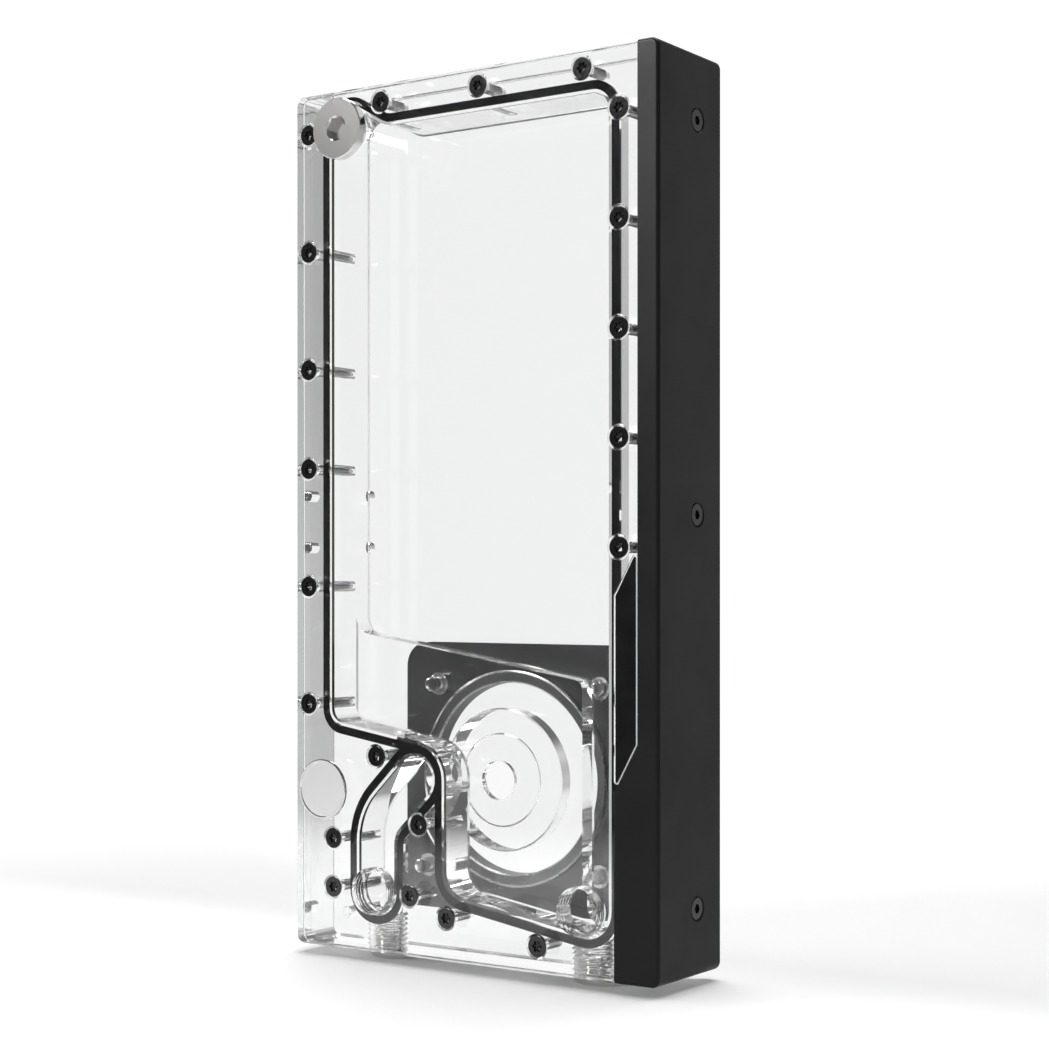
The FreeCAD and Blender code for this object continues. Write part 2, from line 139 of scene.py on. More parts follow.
# %% Places of the separate solids
# A node such as a row of screws holds several solids. Their boxes give each one's place.


def islands(node):
    """Boxes of the separate solids inside one node, as (low, high) corners."""
    obj = merged_copy(node, node + "_islands")
    work = bmesh.new()
    work.from_mesh(obj.data)
    seen = set()
    boxes = []
    for first in work.verts:
        if first in seen:
            continue
        seen.add(first)
        found = [first]
        for vert in found:
            for edge in vert.link_edges:
                other = edge.other_vert(vert)
                if other not in seen:
                    seen.add(other)
                    found.append(other)
        sides = list(zip(*(vert.co for vert in found)))
        boxes.append(([min(side) for side in sides], [max(side) for side in sides]))
    work.free()
    discard(obj)
    return boxes


def centre_of(low, high):
    return [(a + b) / 2 for a, b in zip(low, high)]


print("solids in the left row of screws:", len(islands("cover_screws_left")))

# %% [markdown]
# ## Smooth faces that stay flat where they should
# The round faces of a solid are narrow flat strips. Blender can shade them smooth by angle,
# but that also bends the light on a large flat face where it meets a rounding, and clear
# material shows this at once. So large flat regions keep their own direction exactly, and
# only the round faces between them get blended normals.

# %% Smooth shading
FLAT_AREA = 30.0 * MM * MM
SAME_PLANE = 0.99999
NO_AREA = 1e-12
ROUND_ANGLE = 28.0


def flat_regions(faces, least):
    """Normals of the faces that belong to a flat region of at least this area, by face index."""
    seen = set()
    flat = {}
    for first in faces:
        if first.index in seen:
            continue
        seen.add(first.index)
        region = [first]
        for face in region:
            for other in (near for edge in face.edges for near in edge.link_faces):
                if other.index not in seen and other.normal.dot(first.normal) > SAME_PLANE:
                    seen.add(other.index)
                    region.append(other)
        if sum(face.calc_area() for face in region) > least:
            flat.update({face.index: first.normal.copy() for face in region})
    return flat


def smooth(obj, angle=ROUND_ANGLE, least=FLAT_AREA):
    """Round faces get soft normals that meet flat faces without a crease; flat faces stay exact."""
    work = bmesh.new()
    work.from_mesh(obj.data)
    work.faces.ensure_lookup_table()
    flat = flat_regions(work.faces, least)
    area = [face.calc_area() for face in work.faces]
    near = math.cos(math.radians(angle))
    normals = []
    for face in work.faces:
        for vert in face.verts:
            if face.index in flat:
                normals.append(flat[face.index])
                continue
            around = [other for other in vert.link_faces if other.normal.dot(face.normal) > near]
            level = [flat[other.index] for other in around if other.index in flat]
            if level:
                normals.append(max(level, key=face.normal.dot))
            else:
                weighted = (other.normal * area[other.index] for other in around)
                normals.append(sum(weighted, face.normal * NO_AREA).normalized())
    work.free()
    obj.data.polygons.foreach_set("use_smooth", [True] * len(obj.data.polygons))
    obj.data.normals_split_custom_set(normals)


print("flat regions stay exact from", round(FLAT_AREA / MM / MM), "mm2")

# %% [markdown]
# ## Coats and hand-over
# A piece is coated with one finish, and faces that differ, such as a bevel or a turned
# face, are painted with another. They are picked by the way they face, because a test on
# normals still holds when a size changes, and a list of face numbers would not. Each
# finished piece then rides on a body of the frame and stands for the node it was made from.

# %% Coats and hand-over
ROOT = "reservoir"
UP = Vector((0, 0, 1))


def coat(obj, material):
    """One finish for the whole piece."""
    obj.data.materials.clear()
    obj.data.materials.append(material)
    obj.data.polygons.foreach_set("material_index", [0] * len(obj.data.polygons))


def paint(obj, material, wanted):
    """One more finish, for the faces that pass a test."""
    number = len(obj.data.materials)
    obj.data.materials.append(material)
    for face in obj.data.polygons:
        if wanted(face):
            face.material_index = number


def settle(obj, node, body=ROOT):
    """Hand a finished piece to the frame in place of a node."""
    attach(obj, body)
    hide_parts(node)
    print(obj.name, "stands for", node, "with", len(obj.data.polygons), "faces")


def plain_piece(node, name, material, body=ROOT, angle=ROUND_ANGLE):
    """A piece that keeps the shape of its solid and only gets a finish."""
    obj = merged_copy(node, name)
    smooth(obj, angle)
    coat(obj, material)
    settle(obj, node, body)
    return obj


def facing(place, outward):
    """Matrix that takes +Z to the outward direction and the origin to a place."""
    turn = UP.rotation_difference(Vector(outward)).to_matrix().to_4x4()
    return Matrix.Translation(Vector(place)) @ turn


# %% [markdown]
# ## Node trees in short
# Finishes, screws and the light of the studio are all node trees. They could be drawn by
# hand in the editor, but a script can be read and run again. One small class adds a node and
# feeds its inputs, either with a number or with a link. A finish is such a tree round one
# Principled shader: what holds all over a surface is set on the shader, and only what
# varies comes from nodes.

# %% Node helpers


class Nodes:
    """Short ways to add nodes to a tree and to feed their inputs."""

    def __init__(self, tree):
        self.tree = tree

    def add(self, kind, feeds=(), **values):
        node = self.tree.nodes.new(kind)
        for key, value in values.items():
            setattr(node, key, value)
        for socket, value in dict(feeds).items():
            self.feed(node.inputs[socket], value)
        return node

    def feed(self, socket, value):
        if isinstance(value, bpy.types.NodeSocket):
            self.tree.links.new(value, socket)
        else:
            socket.default_value = value

    def math(self, operation, a, b=0.0):
        return self.add("ShaderNodeMath", {0: a, 1: b}, operation=operation).outputs[0]

    def vector(self, operation, a, b=(0.0, 0.0, 0.0)):
        return self.add("ShaderNodeVectorMath", {0: a, 1: b}, operation=operation).outputs["Vector"]

    def measure(self, operation, a, b=(0.0, 0.0, 0.0)):
        return self.add("ShaderNodeVectorMath", {0: a, 1: b}, operation=operation).outputs["Value"]

    def ramp(self, value, start, stop, low=0.0, high=1.0, kind="SMOOTHSTEP"):
        limits = {"From Min": start, "From Max": stop, "To Min": low, "To Max": high}
        node = self.add("ShaderNodeMapRange", {"Value": value, **limits}, interpolation_type=kind)
        return node.outputs["Result"]

    def blend(self, share, first, second):
        return self.add("ShaderNodeMix", {0: share, 2: first, 3: second}).outputs[0]


# %% Finish helper
SPAN = (0.3, 0.7)


class Finish(Nodes):
    """A material under construction, round one Principled shader."""

    def __init__(self, name, color, metallic=0.0, roughness=0.5, **sockets):
        self.material = bpy.data.materials.new(name)
        self.material.use_nodes = True
        super().__init__(self.material.node_tree)
        self.shader = self.tree.nodes["Principled BSDF"]
        sockets.update(Base_Color=(*color, 1.0), Metallic=metallic, Roughness=roughness)
        for socket, value in sockets.items():
            self.feed(self.shader.inputs[socket.replace("_", " ")], value)
        self.coords = self.add("ShaderNodeTexCoord").outputs["Object"]

    def noise(self, scale, detail=3.0, coords=None):
        feeds = {"Vector": coords or self.coords, "Scale": scale, "Detail": detail}
        return self.add("ShaderNodeTexNoise", feeds).outputs["Fac"]

    def rings(self, centre, across, pitch):
        """Fine turning marks round an axis: a wave of the distance from it."""
        feeds = {"Vector": self.coords, "Location": tuple(-c for c in centre)}
        shift = self.add("ShaderNodeMapping", feeds).outputs["Vector"]
        distance = self.measure("LENGTH", self.vector("MULTIPLY", shift, across))
        return self.math("SINE", self.math("MULTIPLY", distance, 2 * math.pi / pitch))

    def roughness(self, value, low, high):
        self.feed(self.shader.inputs["Roughness"], self.ramp(value, *SPAN, low, high, "LINEAR"))

    def tint(self, value, dark, light):
        node = self.add("ShaderNodeValToRGB", {"Fac": value})
        for stop, position, color in zip(node.color_ramp.elements, SPAN, (dark, light)):
            stop.position = position
            stop.color = (*color, 1.0)
        self.feed(self.shader.inputs["Base Color"], node.outputs["Color"])

    def bump(self, height, depth, strength=1.0):
        node = self.add("ShaderNodeBump", {"Strength": strength, "Distance": depth, "Height": height})
        self.feed(self.shader.inputs["Normal"], node.outputs["Normal"])


# %% [markdown]
# ## Clear and black finishes
# Cast acrylic bends light with an index of 1.49 and has almost no colour. Its faces are
# polished, and its bevels and countersinks keep the satin look of the cutter, with fine
# lines at one depth. A glass shader would do for the faces alone; Principled with full
# transmission takes both. The gasket is soft black rubber, the cover black anodised aluminium
# with a fine blasted grain, and the screws are blackened steel, rubbed brighter on their threads.

# %% Clear acrylic and rubber
ACRYLIC_IOR = 1.491
MILLED_ROUGH = 0.25
CUTTER_LINES = (0.003, 1.0, 0.003)


def clear_acrylic(name, roughness):
    color = (0.985, 0.99, 0.988)
    finish = Finish(name, color, roughness=roughness, IOR=ACRYLIC_IOR, Transmission_Weight=1.0)
    drawn = finish.add("ShaderNodeMapping", {"Vector": finish.coords, "Scale": CUTTER_LINES})
    finish.bump(finish.noise(1400.0, 2.0, drawn.outputs["Vector"]), 0.003 * MM)
    return finish.material


def black_rubber():
    finish = Finish("black_rubber", (0.006, 0.006, 0.006), roughness=0.6, Specular_IOR_Level=0.06)
    finish.tint(finish.noise(180.0), (0.005, 0.005, 0.005), (0.008, 0.008, 0.008))
    finish.bump(finish.noise(2500.0), 0.01 * MM, 0.4)
    return finish.material


acrylic = clear_acrylic("clear_acrylic", 0.0)
milled = clear_acrylic("milled_acrylic", MILLED_ROUGH)
rubber = black_rubber()
print("clear finishes:", acrylic.name, "and", milled.name)

# %% Black metal


def black_anodised():
    finish = Finish("black_anodised", (0.005, 0.005, 0.0054), roughness=0.42, Specular_IOR_Level=0.16)
    finish.roughness(finish.noise(60.0), 0.36, 0.46)
    finish.bump(finish.noise(4200.0, 2.0), 0.02 * MM, 0.6)
    return finish.material


def black_steel():
    finish = Finish("black_steel", (0.05, 0.05, 0.05), metallic=0.9, roughness=0.13)
    finish.roughness(finish.noise(900.0), 0.11, 0.16)
    return finish.material


def worn_steel():
    """Threads, where the block they bite into has rubbed the black off."""
    finish = Finish("worn_steel", (0.3, 0.3, 0.3), metallic=1.0, roughness=0.16)
    finish.roughness(finish.noise(1500.0), 0.12, 0.22)
    return finish.material


anodised = black_anodised()
blackened = black_steel()
worn = worn_steel()
print("black finishes:", ", ".join(metal.name for metal in (anodised, blackened, worn)))

# %% [markdown]
# ## Bright finishes
# The plugs are brass with a nickel coat. Their rims are polished and their faces are turned,
# which leaves rings too fine to model: a wave of the distance from the axis varies the
# roughness instead. The pump's plate is dark, with a lighter skimmed collar. The badge is satin
# silver. A plain metal value would reflect like a mirror everywhere, so each one varies a little.

# %% Bright metal
AROUND_DEPTH = (1.0, 0.0, 1.0)


def satin_nickel(name, centre, across):
    finish = Finish(name, (0.6, 0.595, 0.585), metallic=1.0, roughness=0.2)
    finish.roughness(finish.rings(centre, across, 0.5 * MM), 0.19, 0.215)
    return finish.material


def polished_nickel():
    finish = Finish("polished_nickel", (0.66, 0.655, 0.645), metallic=1.0, roughness=0.06)
    finish.roughness(finish.noise(400.0), 0.05, 0.08)
    return finish.material


def bright_steel():
    finish = Finish("bright_steel", (0.66, 0.66, 0.65), metallic=1.0, roughness=0.22)
    finish.roughness(finish.noise(700.0), 0.18, 0.3)
    return finish.material


def satin_silver(centre):
    finish = Finish("satin_silver", (0.8, 0.8, 0.8), metallic=1.0, roughness=0.46)
    finish.roughness(finish.rings(centre, AROUND_DEPTH, 0.6 * MM), 0.45, 0.475)
    finish.bump(finish.noise(5200.0, 2.0), 0.012 * MM, 0.5)
    return finish.material


stainless = bright_steel()
polished = polished_nickel()
print("bright finishes:", stainless.name, "and", polished.name)

# %% Pump plate


def dark_plate():
    finish = Finish("dark_plate", (0.075, 0.075, 0.078), roughness=0.45)
    finish.roughness(finish.noise(120.0), 0.36, 0.48)
    finish.tint(finish.noise(45.0), (0.068, 0.068, 0.071), (0.082, 0.082, 0.085))
    finish.bump(finish.noise(3200.0, 2.0), 0.012 * MM, 0.5)
    return finish.material


def turned_plate(centre):
    """Face of the collar, lighter where the lathe has skimmed it."""
    finish = Finish("turned_plate", (0.17, 0.17, 0.172), roughness=0.4)
    finish.roughness(finish.rings(centre, AROUND_DEPTH, 0.5 * MM), 0.34, 0.44)
    return finish.material


dark_metal = dark_plate()
collar_metal = turned_plate(mounts["pump_opening"]["pos_m"])
print("plate finishes:", dark_metal.name, "and", collar_metal.name)

# %% [markdown]
# ## One thread for every screw
# A thread is a rod whose radius rises and falls along a helix. It could be a profile swept
# by the Screw modifier, but its ends would stay open and a Boolean needs a closed body. So
# Geometry Nodes start from a closed cylinder and push each point out by a wave of height
# minus angle: the crest climbs by one pitch a turn. The same tree cuts the ports, dresses
# the plugs and makes the small screws, which keeps every thread in step with its mate.

# %% Geometry tree helper


class Tree(Nodes):
    """A Geometry Nodes tree with named inputs."""

    def __init__(self, name, inputs):
        super().__init__(bpy.data.node_groups.new(name, "GeometryNodeTree"))
        face = self.tree.interface
        face.new_socket("Geometry", in_out="INPUT", socket_type="NodeSocketGeometry")
        self.ids = {}
        for label, kind in inputs:
            socket = face.new_socket(label, in_out="INPUT", socket_type="NodeSocket" + kind)
            self.ids[label] = socket.identifier
        face.new_socket("Geometry", in_out="OUTPUT", socket_type="NodeSocketGeometry")
        self.start = self.add("NodeGroupInput").outputs

    def end(self, geometry):
        """Close the tree with real meshes in the given material."""
        real = self.add("GeometryNodeRealizeInstances", {"Geometry": geometry})
        feeds = {"Geometry": real.outputs[0], "Material": self.start["Material"]}
        painted = self.add("GeometryNodeSetMaterial", feeds)
        self.add("NodeGroupOutput", {"Geometry": painted.outputs[0]})

    def dress(self, obj, values):
        """Put the tree on an object and set its inputs by their identifiers."""
        modifier = obj.modifiers.new(self.tree.name, "NODES")
        modifier.node_group = self.tree
        for label, value in values.items():
            modifier[self.ids[label]] = value
        return baked(obj)


# %% Thread tree
THREAD_STEPS = 8
FLANK = (0.2, 0.8)
THREAD_INPUTS = [
    ("Core Radius", "Float"),
    ("Depth", "Float"),
    ("Pitch", "Float"),
    ("Low", "Float"),
    ("High", "Float"),
    ("Segments", "Int"),
    ("Material", "Material"),
]


def thread_tree():
    tree = Tree("helical_thread", THREAD_INPUTS)
    put = tree.start
    length = tree.math("SUBTRACT", put["High"], put["Low"])
    turns = tree.math("DIVIDE", length, put["Pitch"])
    rows = tree.math("CEIL", tree.math("MULTIPLY", turns, THREAD_STEPS))
    sizes = {"Vertices": put["Segments"], "Side Segments": rows, "Depth": length}
    rod = tree.add("GeometryNodeMeshCylinder", {**sizes, "Radius": put["Core Radius"]}, fill_type="NGON")
    middle = tree.math("MULTIPLY", tree.math("ADD", put["High"], put["Low"]), 0.5)
    lift = tree.add("ShaderNodeCombineXYZ", {"Z": middle}).outputs[0]
    raised = tree.add("GeometryNodeTransform", {"Geometry": rod.outputs["Mesh"], "Translation": lift})
    position = tree.add("GeometryNodeInputPosition").outputs[0]
    x, y, z = tree.add("ShaderNodeSeparateXYZ", {0: position}).outputs
    turn = tree.math("DIVIDE", tree.math("ARCTAN2", y, x), 2 * math.pi)
    phase = tree.math("FRACT", tree.math("SUBTRACT", tree.math("DIVIDE", z, put["Pitch"]), turn))
    wave = tree.math("MULTIPLY", tree.math("PINGPONG", phase, 0.5), 2.0)
    height = tree.math("MULTIPLY", tree.ramp(wave, *FLANK, kind="LINEAR"), put["Depth"])
    grow = tree.math("ADD", tree.math("DIVIDE", height, put["Core Radius"]), 1.0)
    wide = {"X": tree.math("MULTIPLY", x, grow), "Y": tree.math("MULTIPLY", y, grow), "Z": z}
    place = tree.add("ShaderNodeCombineXYZ", wide).outputs[0]
    shaped = tree.add("GeometryNodeSetPosition", {"Geometry": raised.outputs[0], "Position": place})
    tree.end(shaped.outputs[0])
    return tree


thread = thread_tree()
print("thread tree with", len(thread.tree.nodes), "nodes")

# %% [markdown]
# ## The ports
# Five ports carry the same pipe thread. Two are open at the front, one holds the fill
# plug, and two hold the plugs underneath. The solids have plain bores. A port could be
# measured there, but the frame already states each one's middle and the direction that
# points out of it, as a mount or as the joint of a plug, so those are used.

# %% Port places
PORT_PITCH = 1.337 * MM
PORT_CREST = 5.94 * MM
PORT_DEPTH = 0.6 * MM
PORT_SEGMENTS = 72
PLUGS = ("fill_plug", "drain_plug_left", "drain_plug_right")
plate_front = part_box("front_plate")[0][1]
plate_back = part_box("front_plate")[1][1]


def open_port(mount):
    x, _, z = mounts[mount]["pos_m"]
    return facing((x, plate_front, z), mounts[mount]["axis"])


def plug_port(plug):
    joint = joints[plug + "_turn"]
    return facing(joint["pos_m"], joint["axis"])


def port_thread(name, port, core, low, high, material):
    """A plain mesh of the pipe thread, along the outward direction of a port."""
    sizes = {"Core Radius": core, "Depth": PORT_DEPTH, "Pitch": PORT_PITCH, "Low": low, "High": high}
    empty = add_object(name, bpy.data.meshes.new(name))
    rod = thread.dress(empty, {**sizes, "Segments": PORT_SEGMENTS, "Material": material})
    rod.data.transform(port)
    return rod


open_ports = [open_port("front_port_left"), open_port("front_port_right")]
plug_ports = {plug: plug_port(plug) for plug in PLUGS}
print("ports:", len(open_ports), "open,", len(plug_ports), "with plugs")

# %% [markdown]
# ## The clear plate and the clear block
# Both are copies of the solids with the threads cut into their ports. Two polished
# faces that lie on each other still trap a film of air, and it is that film which
# mirrors the inside at a flat angle. The pieces could be scaled down to make room for it,
# but then walls and holes would shift. So each face is drawn in along its own normal by a
# few hundredths of a millimetre, and the tapped holes close onto the screws in them.

# %% Clear material
FILM = 0.03 * MM
CORNER_REACH = 3.0
SAME_WAY = 0.05
TAP_START = 0.5 * MM


def cut_threads(obj, ports, deep):
    for number, port in enumerate(ports):
        name = f"{obj.name}_tap_{number}"
        combine(obj, "DIFFERENCE", port_thread(name, port, PORT_CREST, -deep, TAP_START, acrylic))


def draw_in(obj, film):
    """Move every face of a closed mesh inwards by the air film, keeping flat faces flat."""
    work = bmesh.new()
    work.from_mesh(obj.data)
    moves = []
    for vert in work.verts:
        normals = np.array([face.normal for face in vert.link_faces if face.calc_area() > NO_AREA])
        move = np.linalg.lstsq(normals, np.full(len(normals), -film), rcond=SAME_WAY)[0]
        moves.append(move * min(1.0, CORNER_REACH * film / np.linalg.norm(move)))
    for vert, move in zip(work.verts, moves):
        vert.co += Vector(move)
    work.to_mesh(obj.data)
    work.free()


print("air film of", FILM / MM, "mm round the clear pieces")

# %% Tapped holes
Size = namedtuple("Size", "shank head pitch depth")
COVER_SCREW = Size(shank=1.5 * MM, head=2.85 * MM, pitch=0.5 * MM, depth=0.2 * MM)
PUMP_SCREW = Size(shank=2.0 * MM, head=3.35 * MM, pitch=0.7 * MM, depth=0.28 * MM)
HOLE_CLEAR = 0.1 * MM
HOLE_MATCH = 0.02 * MM
GRIP = 0.1 * MM


def grip_screws(obj, node, axis, shank):
    """Close the tapped holes of a block onto the threads of the screws in them."""
    hole, closed = shank + HOLE_CLEAR, shank - GRIP
    across = [i for i in range(3) if i != axis]
    for low, high in islands(node):
        middle = centre_of(low, high)
        for vert in obj.data.vertices:
            out = Vector([vert.co[i] - middle[i] for i in across])
            if abs(out.length - hole) < HOLE_MATCH:
                for i, value in zip(across, out * (closed / hole)):
                    vert.co[i] = middle[i] + value


print("tapped holes close by", round((HOLE_CLEAR + GRIP) / MM, 2), "mm onto the threads")

# %% Clear plate and block
PLATE_RUN = plate_back - plate_front + 0.4 * MM
BLOCK_RUN = 10.5 * MM
MILLED_TILT = (0.6, 0.8)
ALONG_X, ALONG_Y = 0, 1
ROWS = ("left", "top", "right", "lower")
gripped = [("cover_screws_" + row, ALONG_Y, COVER_SCREW.shank) for row in ROWS]
gripped.append(("side_cover_screws", ALONG_X, COVER_SCREW.shank))
gripped.append(("pump_plate_screws", ALONG_Y, PUMP_SCREW.shank))


def on_bevel(face):
    low, high = MILLED_TILT
    return low < abs(face.normal.y) < high


def clear_piece(node, name, ports, deep, holes=()):
    obj = merged_copy(node, name)
    for screws, axis, shank in holes:
        grip_screws(obj, screws, axis, shank)
    cut_threads(obj, ports, deep)
    draw_in(obj, FILM)
    smooth(obj)
    coat(obj, acrylic)
    paint(obj, milled, on_bevel)
    settle(obj, node)


clear_piece("front_plate", "clear_front_plate", open_ports + [plug_ports["fill_plug"]], PLATE_RUN)
under = [plug_ports["drain_plug_left"], plug_ports["drain_plug_right"]]
clear_piece("reservoir_body", "clear_block", under, BLOCK_RUN, gripped)

# %% [markdown]
# ## The gasket
# One black moulding seals the chamber and the outlet channel, and a ring seals each plug.
# They could be swept along a curve, but the solids already hold that shape exactly. The
# gasket fills its groove and shows through the plate as a thin dark line, so only its
# finish is new. A plug's ring slides out with the plug and does not turn with it.

# %% Gasket and O-rings
plain_piece("chamber_gasket", "moulded_gasket", rubber)
for plug in PLUGS:
    plain_piece(plug + "_seal", plug + "_ring", rubber, plug + "_ring")

# %% [markdown]
# ## The stop plugs
# Each plug is a bevelled nickel disc with a six-sided socket and a short threaded shank.
# A bump map could draw the thread, but it shows in outline through the clear block. So
# the thread is joined to a copy of the solid as real shape, a hair smaller than the thread
# in the port, so that the plug can be followed out turn by turn.

# %% Stop plugs
PLUG_CLEAR = 0.14 * MM
PLUG_THREAD = (-4.4 * MM, -0.3 * MM)
FACING_OUT = 0.999


def stop_plug(plug):
    port = plug_ports[plug]
    outward = port.to_3x3() @ UP
    across = tuple(1.0 - abs(round(c)) for c in outward)
    nickel = satin_nickel("nickel_" + plug, port.to_translation(), across)
    obj = merged_copy(plug, plug + "_turned")
    core = PORT_CREST - PLUG_CLEAR
    combine(obj, "UNION", port_thread(plug + "_thread", port, core, *PLUG_THREAD, nickel))
    smooth(obj)
    coat(obj, polished)
    paint(obj, nickel, lambda face: face.normal.dot(outward) > FACING_OUT)
    settle(obj, plug, plug + "_screw")


for plug in PLUGS:
    stop_plug(plug)

# %% [markdown]
# ## Screws
# The heads are countersunk, with a six-lobed drive on the front and a hexagon on the side
# cover. The drive could be cut with a Boolean for each screw. Here a head is a stack of
# rings instead, so that the drive can be any closed curve round the axis and the mesh stays
# small. A second tree sets the head and its threaded shank on every seat.

# %% Screw heads
HEAD_SIDES = 48
HEAD_RIM = 0.25 * MM
HEAD_BREAK, HEAD_BREAK_DEEP = 0.15 * MM, 0.12 * MM
LOBE_MIDDLE, LOBE_SWING = 1.28 * MM, 0.24 * MM
HEX_HALF = 1.1 * MM
DRIVE_DEPTH = 0.9 * MM
DRIVE_EDGE = 0.1 * MM
DRIVE_TAPER = 0.95
TIP_RADIUS, TIP_DEEP = 0.1 * MM, 0.36 * MM


def head_height(size):
    return HEAD_RIM + size.head - size.shank


def six_lobes(angle):
    return LOBE_MIDDLE + LOBE_SWING * math.cos(6 * angle)


def hexagon(angle):
    return HEX_HALF / math.cos((angle + math.pi / 6) % (math.pi / 3) - math.pi / 6)


def head_rings(drive, size):
    """Radius by angle and height of each ring, from the bottom of the drive to the shank."""
    return [
        (lambda a: TIP_RADIUS, -DRIVE_DEPTH - TIP_DEEP),
        (lambda a: DRIVE_TAPER * drive(a), -DRIVE_DEPTH),
        (drive, DRIVE_EDGE - DRIVE_DEPTH),
        (drive, -DRIVE_EDGE),
        (lambda a: drive(a) + DRIVE_EDGE, 0.0),
        (lambda a: size.head - HEAD_BREAK, 0.0),
        (lambda a: size.head, -HEAD_BREAK_DEEP),
        (lambda a: size.head, -HEAD_RIM),
        (lambda a: size.shank, -head_height(size)),
    ]


def screw_head(name, drive, size):
    """Head with its face at z = 0 and the drive sunk into it."""
    work = bmesh.new()
    turn = [2 * math.pi * i / HEAD_SIDES for i in range(HEAD_SIDES)]
    loops = []
    for radius, z in head_rings(drive, size):
        ring = [(radius(a) * math.cos(a), radius(a) * math.sin(a), z) for a in turn]
        loops.append([work.verts.new(point) for point in ring])
    for upper, lower in zip(loops, loops[1:]):
        for i in range(HEAD_SIDES):
            j = (i + 1) % HEAD_SIDES
            work.faces.new((upper[i], upper[j], lower[j], lower[i]))
    work.faces.new(loops[0])
    work.faces.new(loops[-1])
    bmesh.ops.recalc_face_normals(work, faces=work.faces)
    mesh = bpy.data.meshes.new(name)
    work.to_mesh(mesh)
    work.free()
    return add_object(name, mesh)


lobed_head = screw_head("lobed_head", six_lobes, COVER_SCREW)
hex_head = screw_head("hex_head", hexagon, COVER_SCREW)
broad_head = screw_head("broad_head", six_lobes, PUMP_SCREW)
print("screw heads with", len(lobed_head.data.polygons), "faces")

# %% Screw tree


def screw_tree():
    tree = Tree("screws_on_seats", [("Head", "Object"), ("Turn", "Rotation")] + THREAD_INPUTS)
    put = tree.start
    head = tree.add("GeometryNodeObjectInfo", {"Object": put["Head"]})
    shank = tree.add("GeometryNodeGroup", node_tree=thread.tree)
    for label, _ in THREAD_INPUTS:
        tree.feed(shank.inputs[label], put[label])
    whole = tree.add("GeometryNodeJoinGeometry")
    tree.feed(whole.inputs[0], head.outputs["Geometry"])
    tree.feed(whole.inputs[0], shank.outputs[0])
    feeds = {"Points": put["Geometry"], "Instance": whole.outputs[0], "Rotation": put["Turn"]}
    spread = tree.add("GeometryNodeInstanceOnPoints", feeds)
    tree.end(spread.outputs[0])
    return tree


screws = screw_tree()
print("screw tree with", len(screws.tree.nodes), "nodes")

# %% Seats of the screws
FRONT, BACK, RIGHT = (0, -1, 0), (0, 1, 0), (1, 0, 0)


def seats_by_length(node, outward, axis):
    """Middle of each head's face, in groups of screws with the same length in mm."""
    groups = {}
    for low, high in islands(node):
        seat = centre_of(low, high)
        seat[axis] = high[axis] if outward[axis] > 0 else low[axis]
        groups.setdefault(round((high[axis] - low[axis]) / MM, 2), []).append(seat)
    return groups


def joined(name, parts):
    """Several plain meshes with the same finishes as one object."""
    work = bmesh.new()
    for part in parts:
        work.from_mesh(part.data)
    work.to_mesh(parts[0].data)
    work.free()
    discard(*parts[1:])
    parts[0].name = name
    return parts[0]


right_row = seats_by_length("cover_screws_right", FRONT, ALONG_Y)
print("right row, screws by length in mm:", {length: len(seats) for length, seats in right_row.items()})

# %% Rows of screws
SCREW_SEGMENTS = 24
SCREW_ANGLE = 40.0
HEAD_AREA = 3.0 * MM * MM
BELOW_HEAD = 0.05 * MM
DRIVE_SKIN, DRIVE_DEEP = 0.02 * MM, 1.5 * MM
DRIVE_WIDE = 1.58 * MM


def in_drive(point, seats, axis):
    """True inside the sunk drive of any of these screws."""
    for seat in seats:
        gap = [abs(a - b) for a, b in zip(point, seat)]
        deep = gap.pop(axis)
        if DRIVE_SKIN < deep < DRIVE_DEEP and math.hypot(*gap) < DRIVE_WIDE:
            return True
    return False


def bare_threads(row, seats, outward, axis, size):
    """Paint all that lies deeper than the outermost heads, apart from drives that are set deeper."""
    outermost = max(outward[axis] * seat[axis] for seat in seats)
    start = outermost - head_height(size) - BELOW_HEAD

    def bare(face):
        return outward[axis] * face.center[axis] < start and not in_drive(face.center, seats, axis)

    paint(row, worn, bare)


def screw_row(node, name, outward, head, metal, size=COVER_SCREW):
    """Every screw of a node, with screws of one length made in one go."""
    axis = max(range(3), key=lambda i: abs(outward[i]))
    sizes = {
        "Head": head,
        "Core Radius": size.shank - size.depth,
        "Depth": size.depth,
        "Pitch": size.pitch,
        "High": -head_height(size),
        "Segments": SCREW_SEGMENTS,
        "Turn": UP.rotation_difference(Vector(outward)).to_euler(),
        "Material": metal,
    }
    made = []
    for length, seats in seats_by_length(node, outward, axis).items():
        mesh = bpy.data.meshes.new(name)
        mesh.from_pydata(seats, [], [])
        row = screws.dress(add_object(f"{name}_{length}", mesh), {**sizes, "Low": -length * MM})
        coat(row, metal)
        bare_threads(row, seats, outward, axis, size)
        made.append(row)
    whole = joined(name, made)
    smooth(whole, SCREW_ANGLE, HEAD_AREA)
    settle(whole, node)


for row in ROWS:
    screw_row("cover_screws_" + row, "plate_screws_" + row, FRONT, lobed_head, blackened)
screw_row("side_cover_screws", "cover_side_screws", RIGHT, hex_head, blackened)
screw_row("pump_plate_screws", "bright_plate_screws", BACK, broad_head, stainless, PUMP_SCREW)
discard(lobed_head, hex_head, broad_head)

# %% [markdown]
# ## Cover and pump plate
# The cover is one black channel over the right edge. The pump's plate is a dark square on the
# back with a round opening, a bright chamfer and a collar that was skimmed on a lathe, and
# four bushes in the block take its screws. All of them are true to their solids already, so
# the work is in the finishes: chamfer and collar are picked by the way that they face.

# %% Cover and pump plate
LIP_TILT = (0.5, 0.9)
FACING_FRONT = -0.99
COLLAR_DEEP = 0.1 * MM
collar_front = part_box("pump_plate")[0][1]


